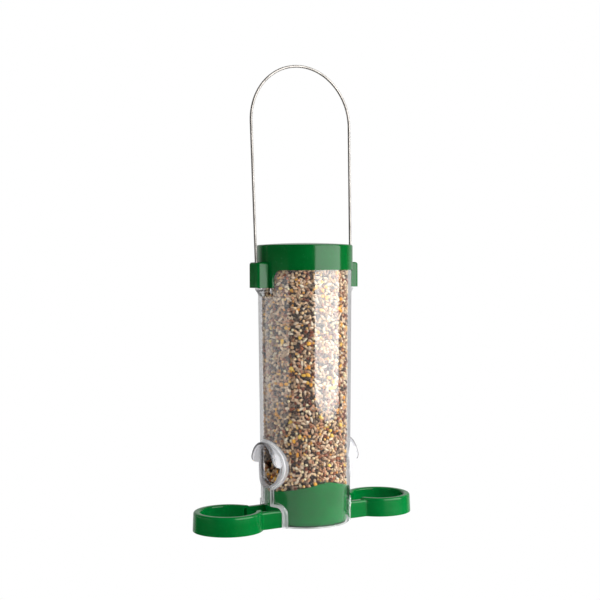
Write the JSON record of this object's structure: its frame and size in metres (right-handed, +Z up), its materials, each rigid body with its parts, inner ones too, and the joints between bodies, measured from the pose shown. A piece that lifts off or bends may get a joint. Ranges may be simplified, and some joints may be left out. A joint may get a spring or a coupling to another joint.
{
  "type": "hanging seed feeder",
  "caption": "Clear tube seed feeder with side ports and visors, a green cap that slides up a wire bail, and a removable green base with ring perches.",
  "frame": {"origin": "on the tube's axis, in the plane of the bottom of the tube and perches", "axes": "+Z up along the tube; +X through the ports, perches, lugs and the legs of the bail; +Y the side that the bail leans to"},
  "size_m": [0.1824, 0.0716, 0.3399],
  "materials": {
    "clear_plastic": "clear moulded plastic, polished",
    "green_plastic": "gloss moulded plastic",
    "steel_wire": "drawn wire",
    "seed_mix": "dry mixed seed"
  },
  "bodies": {
    "feeder": {"tube": "clear_plastic", "port_left": "clear_plastic", "port_right": "clear_plastic", "seed_fill": "seed_mix"},
    "cap": {"cap": "green_plastic"},
    "bail": {"bail_wire": "steel_wire"},
    "base": {"base": "green_plastic"}
  },
  "joints": [
    {"name": "cap_lift", "type": "slide", "parent": "feeder", "child": "cap", "axis": [0, 0, 1], "range_m": [0, 0.07]},
    {"name": "bail_swing", "type": "hinge", "parent": "feeder", "child": "bail", "pos_m": [0, 0, 0.1814], "axis": [1, 0, 0], "range_deg": [0, 4.2]},
    {"name": "base_pull", "type": "slide", "parent": "feeder", "child": "base", "axis": [0, 0, -1], "range_m": [0, 0.045]}
  ]
}
